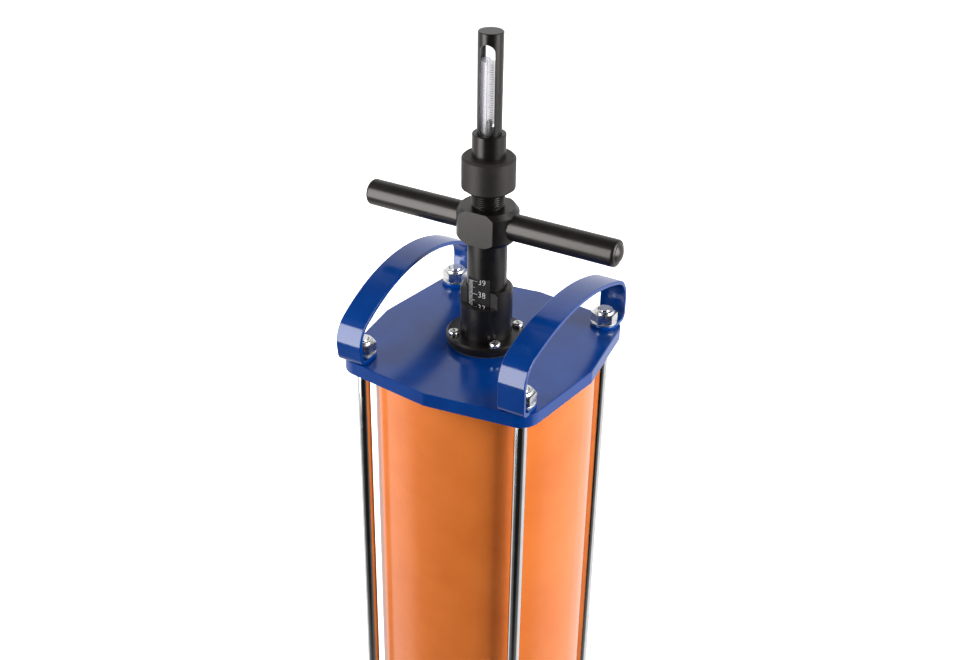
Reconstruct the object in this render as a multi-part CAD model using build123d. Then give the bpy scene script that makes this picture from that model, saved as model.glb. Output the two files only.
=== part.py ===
"""Hand-driven piston pump with a graduated rod, a T-handle and a pressure gauge above it.

Units are millimetres. Z is the rod's axis, +Z up, and Z = 0 is the plane the pump stands on.
The reading window, the graduated strip and the flats face -Y. The handle bars lie along X, and
the carrying handles run along Y.
"""
import math
import os

from build123d import *

# --- frame: plates, cylinder and tie rods -------------------------------------------------
PLATE_CORNER = 75.0          # X and Y of the plate's virtual corners
PLATE_BULGE = 85.0           # distance from the axis to the middle vertex of each side
PLATE_THICKNESS = 10.0
PLATE_CORNER_RADIUS = 15.0
PLATE_BULGE_RADIUS = 6.0
PLATE_EDGE_ROUND = 0.8

CYLINDER_OUTER_RADIUS = 80.0
CYLINDER_INNER_RADIUS = 70.0
CYLINDER_LENGTH = 420.0
CYLINDER_GASKET_THICKNESS = 2.0

TIE_ROD_OFFSET = 63.5        # X and Y of each tie rod
TIE_ROD_SHANK_RADIUS = 4.65
TIE_ROD_THREAD_RADIUS = 5.0
TIE_ROD_HOLE_RADIUS = 5.5
TIE_ROD_TIP_CHAMFER = 0.8
THREAD_BELOW_PLATE = 4.0
CORNER_SIGNS = [(-1, -1), (1, -1), (1, 1), (-1, 1)]

# --- underside: membrane and its clamp ring -----------------------------------------------
CLAMP_RING_HEIGHT = 14.0
CLAMP_RING_OUTER_RADIUS = 76.0
CLAMP_RING_INNER_RADIUS = 60.0
CLAMP_RING_CHAMFER = 1.5
CLAMP_SCREW_CIRCLE_RADIUS = 69.0
CLAMP_SCREW_COUNT = 12
CLAMP_SCREW_START = 15.0     # degrees from +X to the first screw
CLAMP_SCREW_RADIUS = 2.5
CLAMP_SCREW_CLEARANCE = 0.3  # radial, in the ring and the membrane
CLAMP_HEAD_RADIUS = 4.25
CLAMP_HEAD_HEIGHT = 4.0
CLAMP_HEAD_SUNK = 1.0        # head face above the resting plane
CLAMP_HEAD_CLEARANCE = 0.4   # radial, in the counterbore
CLAMP_HEAD_TOP = CLAMP_HEAD_SUNK + CLAMP_HEAD_HEIGHT
CLAMP_SOCKET_RADIUS = 2.3    # to the hexagon's corners
CLAMP_SOCKET_DEPTH = 2.4
CLAMP_SCREW_DEPTH = 8.0      # length of thread inside the bottom plate
MEMBRANE_THICKNESS = 1.5
MEMBRANE_SAG = 4.0
MEMBRANE_FLAT_RIM = 2.0      # flat part inside the ring's bore

# --- heights that follow from the stack ---------------------------------------------------
MEMBRANE_Z = CLAMP_RING_HEIGHT
BOTTOM_PLATE_Z = MEMBRANE_Z + MEMBRANE_THICKNESS
BOTTOM_PLATE_TOP = BOTTOM_PLATE_Z + PLATE_THICKNESS
CYLINDER_Z = BOTTOM_PLATE_TOP + CYLINDER_GASKET_THICKNESS
CYLINDER_TOP = CYLINDER_Z + CYLINDER_LENGTH
TOP_PLATE_Z = CYLINDER_TOP + CYLINDER_GASKET_THICKNESS
DECK = TOP_PLATE_Z + PLATE_THICKNESS     # upper face of the top plate

# --- nuts and washers ---------------------------------------------------------------------
NUT_ACROSS_FLATS = 17.0
NUT_HEX_HEIGHT = 7.2
NUT_CHAMFER = 0.8
NUT_COLLAR_RADIUS = 7.3
NUT_COLLAR_HEIGHT = 1.9
NUT_COLLAR_ROUND = 1.3
NUT_BORE_RADIUS = 5.0
INSERT_OUTER_RADIUS = 6.2
INSERT_DEPTH = 2.6           # underside of the nylon ring below the nut's top
INSERT_LIP = 0.5             # metal left above the nylon ring
WASHER_RADIUS = 9.6
WASHER_THICKNESS = 1.0
WASHER_BORE_RADIUS = 5.3
WASHER_CHAMFER = 0.25
ROD_END_ABOVE_NUT = 0.6
LOWER_WASHER_Z = BOTTOM_PLATE_Z - WASHER_THICKNESS

# --- carrying handles ---------------------------------------------------------------------
STRAP_WIDTH = 20.0
STRAP_THICKNESS = 3.0
STRAP_EDGE_ROUND = 0.6
STRAP_LEG_Y = 79.5           # outer face of the bends
STRAP_BEND_RADIUS = 3.2      # inside radius of the bend at the foot
STRAP_SHOULDER_RADIUS = 19.0 # centre line, where the leg turns into the arch
# each handle is bent by hand, so the two differ a little: the arch's centre line radius, the
# height of its crown above the plate, how far the crown sits behind the middle, and the
# angle in degrees by which the legs lean away from each other
LEFT_STRAP = {"radius": 133.0, "rise": 53.4, "sway": 1.2, "lean": 8.0}
RIGHT_STRAP = {"radius": 190.0, "rise": 51.3, "sway": -4.5, "lean": 0.0}
UPPER_WASHER_Z = DECK + STRAP_THICKNESS
LOCK_NUT_Z = UPPER_WASHER_Z + WASHER_THICKNESS

# --- piston rod and handle ----------------------------------------------------------------
STROKE_DOWN = 21.0           # travel left below the modelled position, above it is 369
ROD_RADIUS = 14.0
ROD_PASSAGE_RADIUS = 3.0
ROD_HOLE_RADIUS = 15.0       # in the top plate
ROD_FLAT_Y = -11.2
ROD_THREAD_TIP = 1.5         # the lower thread ends this far above the piston's face
STRIP_WIDTH = 15.6
STRIP_THICKNESS = 0.3
STRIP_TOP = DECK + 54.0
STRIP_LENGTH = 424.0         # long enough for the bush at the top of the stroke
STRIP_END_GAP = 0.8          # length of open flat beyond each end of the strip
PISTON_CLEARANCE_BELOW = 2.0
PISTON_RADIUS = 69.4
PISTON_HEIGHT = 28.0
PISTON_CHAMFER = 1.0
PISTON_SEAL_RADIUS = 69.94
PISTON_GROOVE_RADIUS = 65.0
SEAL_HEIGHT = 4.0
SEAL_FROM_FACE = 4.0         # land between a piston face and its seal groove
SEAL_LIP_TAPER = 0.5
SEAL_LIP_HEIGHT = 0.8
SEAL_GROOVE_HALF_WIDTH = 0.6
SEAL_GROOVE_DEPTH = 1.6
WEAR_BAND_RADIUS = 69.95
WEAR_BAND_GROOVE_RADIUS = 67.5
WEAR_BAND_HEIGHT = 6.0
NUT_POCKET_RADIUS = 20.0
NUT_POCKET_DEPTH = 14.0
ROD_NUT_ACROSS_FLATS = 27.0
ROD_NUT_HEIGHT = 9.0
BACKING_WASHER_RADIUS = 17.0
BACKING_WASHER_BORE_RADIUS = 9.1
BACKING_WASHER_THICKNESS = 2.5
O_RING_RADIUS = 1.2
O_RING_BELOW_CROWN = 4.0
PISTON_BOTTOM = CYLINDER_Z + PISTON_CLEARANCE_BELOW + STROKE_DOWN
PISTON_TOP = PISTON_BOTTOM + PISTON_HEIGHT
SEAL_BOTTOMS = [PISTON_BOTTOM + SEAL_FROM_FACE, PISTON_TOP - SEAL_FROM_FACE - SEAL_HEIGHT]
WEAR_BAND_BOTTOM = (PISTON_BOTTOM + PISTON_TOP - WEAR_BAND_HEIGHT) / 2
NUT_POCKET_TOP = PISTON_BOTTOM + NUT_POCKET_DEPTH
O_RING_Z = PISTON_TOP - O_RING_BELOW_CROWN

HUB_RADIUS = 21.7
HUB_HALF_FLATS = 17.2
HUB_BOTTOM = DECK + 81.3
HUB_TOP = DECK + 106.0
HUB_TOP_CHAMFER = (2.8, 3.6)     # radial, axial
HUB_BOTTOM_CHAMFER = (3.0, 3.4)  # radial, axial
BAR_Z = DECK + 94.0
BAR_RADIUS = 9.5
BAR_START_X = 17.5           # bottom of the bar's seat in the hub
LEFT_BAR_END_X = 97.6        # distance of each tip from the pump's axis
RIGHT_BAR_END_X = 101.0
BAR_END_ROUND = 2.5
BAR_END_DOME = 2.5
SPIGOT_RADIUS = 9.0
SPIGOT_LENGTH = 7.5
BAR_SPIGOT_RADIUS = 5.0
BAR_SPIGOT_TIP_X = 11.5

# --- guide collar -------------------------------------------------------------------------
FLANGE_RADIUS = 28.5
FLANGE_GASKET_RADIUS = 26.8
FLANGE_GASKET_BORE_RADIUS = 15.4
FLANGE_GASKET_THICKNESS = 1.2
FLANGE_TOP = DECK + 8.0
FLANGE_TOP_CHAMFER = 1.4
FLANGE_FOOT_CHAMFER = 0.6
COLLAR_RADIUS = 18.5
COLLAR_TOP = DECK + 45.0
COLLAR_TOP_CHAMFER = 1.6
COLLAR_BORE_RADIUS = 14.35
COLLAR_FLAT_Y = -11.0
WINDOW_BOTTOM = DECK + 32.7
BUSH_OUTER_RADIUS = 16.4
BUSH_INNER_RADIUS = 14.05
BUSH_FLAT_Y = -11.55         # 0.05 mm outside the strip's face
BUSH_TOP = DECK + 26.0
WIPER_TOP = DECK + 5.0
FLANGE_SCREW_COUNT = 4
FLANGE_SCREW_START = 45.0    # degrees from +X to the first screw
FLANGE_SCREW_CIRCLE_RADIUS = 23.7
FLANGE_SCREW_RADIUS = 2.0
FLANGE_SCREW_CLEARANCE = 0.2 # radial, in the flange and its gasket
FLANGE_SCREW_HEAD_RADIUS = 3.9
FLANGE_SCREW_HEAD_HEIGHT = 3.0
FLANGE_SCREW_HEAD_ROUND = 1.7
FLANGE_SCREW_FOOT_ROUND = 0.3
FLANGE_SCREW_DEPTH = 8.0     # length of thread inside the top plate
CROSS_LENGTH = 4.4           # the recess at the head's face
CROSS_WIDTH = 1.0
CROSS_TIP_LENGTH = 1.6       # the recess at its bottom
CROSS_TIP_WIDTH = 0.6
CROSS_DEPTH = 1.8

# --- pressure gauge above the handle ------------------------------------------------------
STUB_RADIUS = 11.55
STUB_TOP = DECK + 129.0
STUB_CHAMFER = 0.8
STUB_FLOOR = DECK + 108.0    # bottom of the gauge chamber
STUB_PASSAGE_RADIUS = 2.0
RING_RADIUS = 18.55
RING_BOTTOM = DECK + 117.5
RING_TOP = DECK + 142.0
RING_TOP_CHAMFER = 1.5
RING_BOTTOM_CHAMFER = (3.0, 2.2)   # radial, axial
SLEEVE_RADIUS = 11.55
SLEEVE_BOTTOM = DECK + 130.0
SLEEVE_TOP = DECK + 158.0
SLEEVE_CHAMFER = 0.5
SLEEVE_STEM_CLEARANCE = 0.5
JOINT_SEAL_RADIUS = 10.5
GUARD_RADIUS = 8.45
GUARD_BORE_RADIUS = 6.7
GUARD_BOTTOM = DECK + 150.0
GUARD_TOP = DECK + 226.6
GUARD_CHAMFER = 0.4
GUARD_BORE_TOP = DECK + 216.0
GUARD_SLOT_HALF_WIDTH = 5.3
GUARD_SLOT_BOTTOM = DECK + 157.5
GUARD_SLOT_TOP = DECK + 219.5
GUARD_TURN = 11.0            # degrees the slot is turned from -Y towards +X
SIGHT_RADIUS = 6.5
SIGHT_BORE_RADIUS = 2.2
SIGHT_BOTTOM = DECK + 151.0
SIGHT_TOP = DECK + 207.5
SCALE_WIDTH = 3.9
SCALE_THICKNESS = 0.4
SCALE_BACK = 2.9             # front face of the scale behind the axis
SCALE_GAP = 0.05             # at each side of the scale in its pocket
SCALE_BELOW_TIP = 4.0        # the scale starts this far below the plunger's tip
SCALE_END_GAP = 1.0          # below the tube's upper end
LINER_OUTER_RADIUS = 7.0
LINER_INNER_RADIUS = 5.3
LINER_TOP = DECK + 149.0
PLUNGER_RADIUS = 5.25
PLUNGER_BOTTOM = DECK + 109.5
PLUNGER_HEAD_HEIGHT = 5.0
PLUNGER_GROOVE_HALF_HEIGHT = 0.9
PLUNGER_GROOVE_DEPTH = 1.4
PLUNGER_SEAL_WIRE_RADIUS = 0.66
PLUNGER_SEAL_MEAN_RADIUS = 4.57
PLUNGER_STEM_RADIUS = 1.95
PLUNGER_NECK = DECK + 162.5
PLUNGER_NECK_DEPTH = 0.45
PLUNGER_NECK_HEIGHT = 0.4
PLUNGER_NECK_TAPER = 0.2
PLUNGER_TOP = DECK + 167.0
SPRING_MEAN_RADIUS = 4.2
SPRING_WIRE_RADIUS = 0.35
SPRING_END_GAP = 0.1
SPRING_TURNS = 9

# --- sizes used only while building -------------------------------------------------------
PAST = 1.0                   # how far a cutter runs past a face
WIDE = 80.0                  # a cutter wider than what it cuts
TINY = 0.01                  # tolerance when edges are picked


def ring(outer, inner, bottom, top):
    """A flat ring about Z between two heights."""
    body = Cylinder(outer, top - bottom) - Cylinder(inner, top - bottom)
    return Pos(0, 0, (bottom + top) / 2) * body


def rod(radius, bottom, top):
    """A plain round bar about Z between two heights."""
    return Pos(0, 0, (bottom + top) / 2) * Cylinder(radius, top - bottom)


def rod_x(radius, start, end, z):
    """A plain round bar along X."""
    return Pos((start + end) / 2, 0, z) * Rot(0, 90, 0) * Cylinder(radius, abs(end - start))


def turned(points):
    """A solid of revolution about Z from an (r, z) outline."""
    outline = Polyline(*[(r, 0, z) for r, z in points], close=True)
    return revolve(make_face(outline), Axis.Z)


def dome_sag(edge_radius, height, radius):
    """How far a spherical dome has dropped at a radius, if it drops height at edge_radius."""
    sphere = (edge_radius ** 2 + height ** 2) / (2 * height)
    return sphere - math.sqrt(sphere ** 2 - radius ** 2)


def is_level(edge, height):
    """True for an edge that lies flat at one height."""
    points = [(v.X, v.Y, v.Z) for v in edge.vertices()] + [edge.center().to_tuple()]
    return all(abs(z - height) < TINY for _, _, z in points)


def edges_at(shape, height):
    """The edges of a shape that lie flat at one height."""
    return [edge for edge in shape.edges() if is_level(edge, height)]


def at_corners(piece, height=0.0):
    """One copy of a piece on each tie rod's axis."""
    return [Pos(sx * TIE_ROD_OFFSET, sy * TIE_ROD_OFFSET, height) * piece for sx, sy in CORNER_SIGNS]


def around(piece, count, radius, start):
    """Copies of a piece on a circle about Z, all upright."""
    step = 360.0 / count
    angles = [math.radians(start + step * i) for i in range(count)]
    return [Pos(radius * math.cos(a), radius * math.sin(a), 0) * piece for a in angles]


def on_clamp_circle(piece):
    """One copy of a piece at each clamp-ring screw."""
    return around(piece, CLAMP_SCREW_COUNT, CLAMP_SCREW_CIRCLE_RADIUS, CLAMP_SCREW_START)


def on_flange_circle(piece):
    """One copy of a piece at each flange screw."""
    return around(piece, FLANGE_SCREW_COUNT, FLANGE_SCREW_CIRCLE_RADIUS, FLANGE_SCREW_START)


def without(body, cutters):
    """A body with every one of the cutters taken away."""
    for cutter in cutters:
        body -= cutter
    return body


# --- frame --------------------------------------------------------------------------------
def is_upright(edge):
    """True for a straight edge along Z."""
    ends = edge.vertices()
    return len(ends) == 2 and abs(ends[0].X - ends[1].X) + abs(ends[0].Y - ends[1].Y) < TINY


def is_bulge(edge):
    """True for an edge at the middle vertex of a side."""
    x, y = abs(edge.center().X), abs(edge.center().Y)
    return abs(max(x, y) - PLATE_BULGE) < TINY and min(x, y) < TINY


def plate_blank(bottom):
    """The eight-sided plate with rounded corners, softened edges and tie-rod holes."""
    c, m = PLATE_CORNER, PLATE_BULGE
    points = [(-c, -c), (0, -m), (c, -c), (m, 0), (c, c), (0, m), (-c, c), (-m, 0)]
    blank = extrude(make_face(Polyline(*points, close=True)), PLATE_THICKNESS)
    corners = [e for e in blank.edges() if is_upright(e) and not is_bulge(e)]
    blank = fillet(corners, PLATE_CORNER_RADIUS)
    middles = [e for e in blank.edges() if is_upright(e) and is_bulge(e)]
    blank = fillet(middles, PLATE_BULGE_RADIUS)
    blank = fillet(edges_at(blank, 0) + edges_at(blank, PLATE_THICKNESS), PLATE_EDGE_ROUND)
    blank = without(blank, at_corners(rod(TIE_ROD_HOLE_RADIUS, -PAST, PLATE_THICKNESS + PAST)))
    return Pos(0, 0, bottom) * blank


def make_top_plate():
    plate = plate_blank(TOP_PLATE_Z)
    plate -= rod(ROD_HOLE_RADIUS, TOP_PLATE_Z - PAST, DECK + PAST)
    hole = rod(FLANGE_SCREW_RADIUS, DECK - FLANGE_SCREW_DEPTH, DECK + PAST)
    return without(plate, on_flange_circle(hole))


def make_bottom_plate():
    plate = plate_blank(BOTTOM_PLATE_Z)
    plate -= rod(CLAMP_RING_INNER_RADIUS, BOTTOM_PLATE_Z - PAST, BOTTOM_PLATE_TOP + PAST)
    hole = rod(CLAMP_SCREW_RADIUS, BOTTOM_PLATE_Z - PAST, BOTTOM_PLATE_Z + CLAMP_SCREW_DEPTH)
    return without(plate, on_clamp_circle(hole))


def make_cylinder_gasket(bottom):
    inner, outer = CYLINDER_INNER_RADIUS, CYLINDER_OUTER_RADIUS
    return ring(outer, inner, bottom, bottom + CYLINDER_GASKET_THICKNESS)


def make_tie_rod():
    """A stud with a slightly reduced shank and a thread at each end."""
    low = BOTTOM_PLATE_Z - WASHER_THICKNESS - NUT_HEX_HEIGHT - ROD_END_ABOVE_NUT
    high = LOCK_NUT_Z + NUT_HEX_HEIGHT + NUT_COLLAR_HEIGHT + ROD_END_ABOVE_NUT
    thread_low = BOTTOM_PLATE_TOP + THREAD_BELOW_PLATE
    thread_high = TOP_PLATE_Z - THREAD_BELOW_PLATE
    thread, shank, cut = TIE_ROD_THREAD_RADIUS, TIE_ROD_SHANK_RADIUS, TIE_ROD_TIP_CHAMFER
    step = thread - shank
    return turned([(0, low), (thread - cut, low), (thread, low + cut),
                   (thread, thread_low), (shank, thread_low + step),
                   (shank, thread_high - step), (thread, thread_high),
                   (thread, high - cut), (thread - cut, high), (0, high)])


def nut_cone(corner, top_radius, top_drop):
    """What a hexagon is turned down to: a chamfer at its foot and one at its top."""
    low, high = -TINY, NUT_HEX_HEIGHT + TINY
    full = corner + NUT_CHAMFER
    return turned([(0, low), (corner - NUT_CHAMFER, low), (full, NUT_CHAMFER),
                   (full, NUT_HEX_HEIGHT - top_drop), (top_radius, high), (0, high)])


def nut_hexagon(corner):
    return extrude(Rot(0, 0, 30) * RegularPolygon(corner, 6), NUT_HEX_HEIGHT)


def make_lock_nut():
    """A hexagon nut whose rounded collar holds a nylon ring."""
    corner = NUT_ACROSS_FLATS / math.sqrt(3)
    top = NUT_HEX_HEIGHT + NUT_COLLAR_HEIGHT
    cone = nut_cone(corner, NUT_COLLAR_RADIUS + NUT_CHAMFER / 2, NUT_CHAMFER)
    collar = rod(NUT_COLLAR_RADIUS, NUT_HEX_HEIGHT / 2, top)
    collar = fillet(edges_at(collar, top), NUT_COLLAR_ROUND)
    nut = (nut_hexagon(corner) & cone) + collar
    nut -= rod(NUT_BORE_RADIUS, -PAST, top + PAST)
    return nut - rod(INSERT_OUTER_RADIUS, top - INSERT_DEPTH, top - INSERT_LIP)


def make_insert():
    """The nylon ring inside the nut's collar."""
    top = NUT_HEX_HEIGHT + NUT_COLLAR_HEIGHT
    return ring(INSERT_OUTER_RADIUS, NUT_BORE_RADIUS, top - INSERT_DEPTH, top - INSERT_LIP)


def make_plain_nut():
    """A hexagon nut, chamfered on both sides."""
    corner = NUT_ACROSS_FLATS / math.sqrt(3)
    cone = nut_cone(corner, corner - NUT_CHAMFER, NUT_CHAMFER)
    return (nut_hexagon(corner) & cone) - rod(NUT_BORE_RADIUS, -PAST, NUT_HEX_HEIGHT + PAST)


def make_washer():
    washer = ring(WASHER_RADIUS, WASHER_BORE_RADIUS, 0, WASHER_THICKNESS)
    return chamfer(edges_at(washer, WASHER_THICKNESS), WASHER_CHAMFER)


# --- underside ----------------------------------------------------------------------------
def make_clamp_ring():
    """The ring that holds the membrane's rim against the bottom plate; the pump stands on it."""
    body = ring(CLAMP_RING_OUTER_RADIUS, CLAMP_RING_INNER_RADIUS, 0, CLAMP_RING_HEIGHT)
    body = chamfer(edges_at(body, 0), CLAMP_RING_CHAMFER)
    through = rod(CLAMP_SCREW_RADIUS + CLAMP_SCREW_CLEARANCE, -PAST, CLAMP_RING_HEIGHT + PAST)
    pocket = rod(CLAMP_HEAD_RADIUS + CLAMP_HEAD_CLEARANCE, -PAST, CLAMP_HEAD_TOP)
    return without(body, on_clamp_circle(through + pocket))


def make_clamp_screw():
    """A hexagon-socket cap screw, head down."""
    head = rod(CLAMP_HEAD_RADIUS, CLAMP_HEAD_SUNK, CLAMP_HEAD_TOP)
    screw = head + rod(CLAMP_SCREW_RADIUS, CLAMP_HEAD_SUNK + CLAMP_SOCKET_DEPTH,
                       BOTTOM_PLATE_Z + CLAMP_SCREW_DEPTH)
    socket = extrude(RegularPolygon(CLAMP_SOCKET_RADIUS, 6), CLAMP_SOCKET_DEPTH + PAST)
    return screw - Pos(0, 0, CLAMP_HEAD_SUNK - PAST) * socket


def make_membrane():
    """A rubber sheet with a flat rim that sags a little inside the ring."""
    rim, low = MEMBRANE_Z, MEMBRANE_Z - MEMBRANE_SAG
    span = CLAMP_RING_INNER_RADIUS - MEMBRANE_FLAT_RIM
    outer = CLAMP_RING_OUTER_RADIUS
    thick = MEMBRANE_THICKNESS

    def cap(base):
        """A shallow arc from the axis out to the rim, level on the axis."""
        start, end = (0, 0, base), (span, 0, base + MEMBRANE_SAG)
        middle = (span / 2, 0, base + dome_sag(span, MEMBRANE_SAG, span / 2))
        return ThreePointArc(start, middle, end)

    rim_top = Line((outer, 0, rim + thick), (span, 0, rim + thick))
    rim_low = Polyline((span, 0, rim), (outer, 0, rim), (outer, 0, rim + thick))
    middle = Line((0, 0, low + thick), (0, 0, low))
    sheet = revolve(make_face([cap(low + thick), middle, cap(low), rim_low, rim_top]), Axis.Z)
    hole = rod(CLAMP_SCREW_RADIUS + CLAMP_SCREW_CLEARANCE, rim - PAST, rim + thick + PAST)
    return without(sheet, on_clamp_circle(hole))


# --- carrying handles ---------------------------------------------------------------------
def on_circle(y, z, radius, angle, sign):
    """A point on a circle in the YZ plane, mirrored to -Y if sign is -1; angle is from Y to Z."""
    return (0, sign * (y + radius * math.cos(angle)), z + radius * math.sin(angle))


def strap_line(offset, strap):
    """One face of a handle in the YZ plane, offset from the strap's centre line."""
    half = STRAP_THICKNESS / 2
    bend = STRAP_BEND_RADIUS + half
    bend_y, bend_z = STRAP_LEG_Y - half - bend, half + bend
    lean, sway, arch_radius = math.radians(strap["lean"]), strap["sway"], strap["radius"]
    inner_arch = arch_radius - STRAP_SHOULDER_RADIUS
    arch_z = strap["rise"] - half - arch_radius

    def side(sign):
        """From the foot on one side up to where the long arch begins."""
        # the leaning leg touches the bend's circle and the shoulder's circle from outside
        reach = (bend_y - sign * sway) * math.cos(lean) - (bend_z - arch_z) * math.sin(lean)
        turn = math.asin((reach + bend - STRAP_SHOULDER_RADIUS) / inner_arch) + lean
        shoulder_y = sign * sway + inner_arch * math.sin(turn)
        shoulder_z = arch_z + inner_arch * math.cos(turn)
        arch_angle = math.pi / 2 - turn

        def along_bend(angle):
            return on_circle(bend_y, bend_z, bend + offset, angle, sign)

        def along_shoulder(angle):
            return on_circle(shoulder_y, shoulder_z, STRAP_SHOULDER_RADIUS + offset, angle, sign)

        foot = (0, sign * TIE_ROD_OFFSET, half - offset)
        bend_low, bend_high = along_bend(-math.pi / 2), along_bend(-lean)
        leg_top, arch_end = along_shoulder(-lean), along_shoulder(arch_angle)
        pieces = [Line(foot, bend_low),
                  ThreePointArc(bend_low, along_bend(-lean / 2 - math.pi / 4), bend_high),
                  Line(bend_high, leg_top),
                  ThreePointArc(leg_top, along_shoulder((arch_angle - lean) / 2), arch_end)]
        return pieces, arch_end, foot

    near, near_end, near_foot = side(-1)
    far, far_end, far_foot = side(1)
    arch = ThreePointArc(near_end, (0, sway, arch_z + arch_radius + offset), far_end)
    return near + [arch] + far, near_foot, far_foot


def is_strap_rim(edge):
    """True for an edge along one of the strap's long sides or round one of its feet."""
    middle = edge.center()
    at_side = abs(abs(middle.X) - STRAP_WIDTH / 2) < TINY
    at_foot_side = at_side and abs(abs(middle.Y) - TIE_ROD_OFFSET) < TINY
    at_toe = abs(abs(middle.Y) - TIE_ROD_OFFSET + STRAP_WIDTH / 2) < TINY
    return at_toe or (at_side and not at_foot_side)


def make_handle(x, shape):
    """A handle bent from flat bar, with round feet under the nuts."""
    half = STRAP_THICKNESS / 2
    outer, outer_near, outer_far = strap_line(half, shape)
    inner, inner_near, inner_far = strap_line(-half, shape)
    ends = [Line(outer_near, inner_near), Line(outer_far, inner_far)]
    strap = extrude(make_face(outer + inner + ends), STRAP_WIDTH / 2, dir=(1, 0, 0), both=True)
    foot = rod(STRAP_WIDTH / 2, 0, STRAP_THICKNESS)
    foot &= Pos(0, -WIDE / 2, 0) * Box(WIDE, WIDE, WIDE)
    hole = rod(TIE_ROD_HOLE_RADIUS, -PAST, STRAP_THICKNESS + PAST)
    strap += Pos(0, TIE_ROD_OFFSET, 0) * foot
    strap += Pos(0, -TIE_ROD_OFFSET, 0) * Rot(0, 0, 180) * foot
    strap = fillet([e for e in strap.edges() if is_strap_rim(e)], STRAP_EDGE_ROUND)
    for sign in (-1, 1):
        strap -= Pos(0, sign * TIE_ROD_OFFSET, 0) * hole
    return Pos(x, 0, DECK) * strap


# --- guide collar -------------------------------------------------------------------------
def make_collar():
    """Flange and guide tube, with a flat milled down to the window's lower edge."""
    foot, top = DECK + FLANGE_GASKET_THICKNESS, COLLAR_TOP
    low_cut, high_cut, rim_cut = FLANGE_FOOT_CHAMFER, FLANGE_TOP_CHAMFER, COLLAR_TOP_CHAMFER
    body = turned([(COLLAR_BORE_RADIUS, foot), (FLANGE_RADIUS - low_cut, foot),
                   (FLANGE_RADIUS, foot + low_cut), (FLANGE_RADIUS, FLANGE_TOP - high_cut),
                   (FLANGE_RADIUS - high_cut, FLANGE_TOP), (COLLAR_RADIUS, FLANGE_TOP),
                   (COLLAR_RADIUS, top - rim_cut), (COLLAR_RADIUS - rim_cut, top),
                   (COLLAR_BORE_RADIUS, top)])
    body -= rod(BUSH_OUTER_RADIUS, foot - PAST, BUSH_TOP)
    height = top + PAST - WINDOW_BOTTOM
    window = Box(WIDE, WIDE, height)
    body -= Pos(0, COLLAR_FLAT_Y - WIDE / 2, WINDOW_BOTTOM + height / 2) * window
    hole = rod(FLANGE_SCREW_RADIUS + FLANGE_SCREW_CLEARANCE, foot - PAST, FLANGE_TOP + PAST)
    return without(body, on_flange_circle(hole))


def d_bore(bottom, top):
    """The bush's bore: round, with a flat that keeps the rod's strip facing the window."""
    bore = rod(BUSH_INNER_RADIUS, bottom - PAST, top + PAST)
    return bore & Pos(0, BUSH_FLAT_Y + WIDE / 2, (bottom + top) / 2) * Box(WIDE, WIDE, WIDE)


def make_bush():
    return rod(BUSH_OUTER_RADIUS, WIPER_TOP, BUSH_TOP) - d_bore(WIPER_TOP, BUSH_TOP)


def make_wiper():
    low = DECK + FLANGE_GASKET_THICKNESS
    return rod(BUSH_OUTER_RADIUS, low, WIPER_TOP) - d_bore(low, WIPER_TOP)


def make_flange_gasket():
    high = DECK + FLANGE_GASKET_THICKNESS
    gasket = ring(FLANGE_GASKET_RADIUS, FLANGE_GASKET_BORE_RADIUS, DECK, high)
    hole = rod(FLANGE_SCREW_RADIUS + FLANGE_SCREW_CLEARANCE, DECK - PAST, high + PAST)
    return without(gasket, on_flange_circle(hole))


def make_flange_screw():
    """A pan-head screw with a cross recess."""
    top = FLANGE_TOP + FLANGE_SCREW_HEAD_HEIGHT
    head = rod(FLANGE_SCREW_HEAD_RADIUS, FLANGE_TOP, top)
    head = fillet(edges_at(head, top), FLANGE_SCREW_HEAD_ROUND)
    head = fillet(edges_at(head, FLANGE_TOP), FLANGE_SCREW_FOOT_ROUND)
    screw = head + rod(FLANGE_SCREW_RADIUS, DECK - FLANGE_SCREW_DEPTH, FLANGE_TOP)
    mouth = Rectangle(CROSS_LENGTH, CROSS_WIDTH)
    tip = Pos(0, 0, -CROSS_DEPTH) * Rectangle(CROSS_TIP_LENGTH, CROSS_TIP_WIDTH)
    slot = Pos(0, 0, top + TINY) * loft([mouth, tip])
    return without(screw, [Rot(0, 0, angle) * slot for angle in (45, 135)])


# --- piston and rod -----------------------------------------------------------------------
def make_rod():
    """The hollow rod: a spigot at each end and a long flat for the strip."""
    nut_low = PISTON_BOTTOM + ROD_THREAD_TIP
    body = rod(ROD_RADIUS, PISTON_TOP, HUB_BOTTOM)
    flat_low = STRIP_TOP - STRIP_LENGTH - STRIP_END_GAP
    flat_high = STRIP_TOP + STRIP_END_GAP
    flat = Box(WIDE, WIDE, flat_high - flat_low)
    body -= Pos(0, ROD_FLAT_Y - WIDE / 2, (flat_low + flat_high) / 2) * flat
    body += rod(SPIGOT_RADIUS, HUB_BOTTOM, HUB_BOTTOM + SPIGOT_LENGTH)
    body += rod(SPIGOT_RADIUS, nut_low, PISTON_TOP)
    body -= Pos(0, 0, O_RING_Z) * Torus(SPIGOT_RADIUS, O_RING_RADIUS)
    return body - rod(ROD_PASSAGE_RADIUS, nut_low - PAST, HUB_TOP)


def make_rod_strip():
    """The strip that carries the marks, in the rod's flat."""
    strip = Box(STRIP_WIDTH, STRIP_THICKNESS, STRIP_LENGTH)
    return Pos(0, ROD_FLAT_Y - STRIP_THICKNESS / 2, STRIP_TOP - STRIP_LENGTH / 2) * strip


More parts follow.
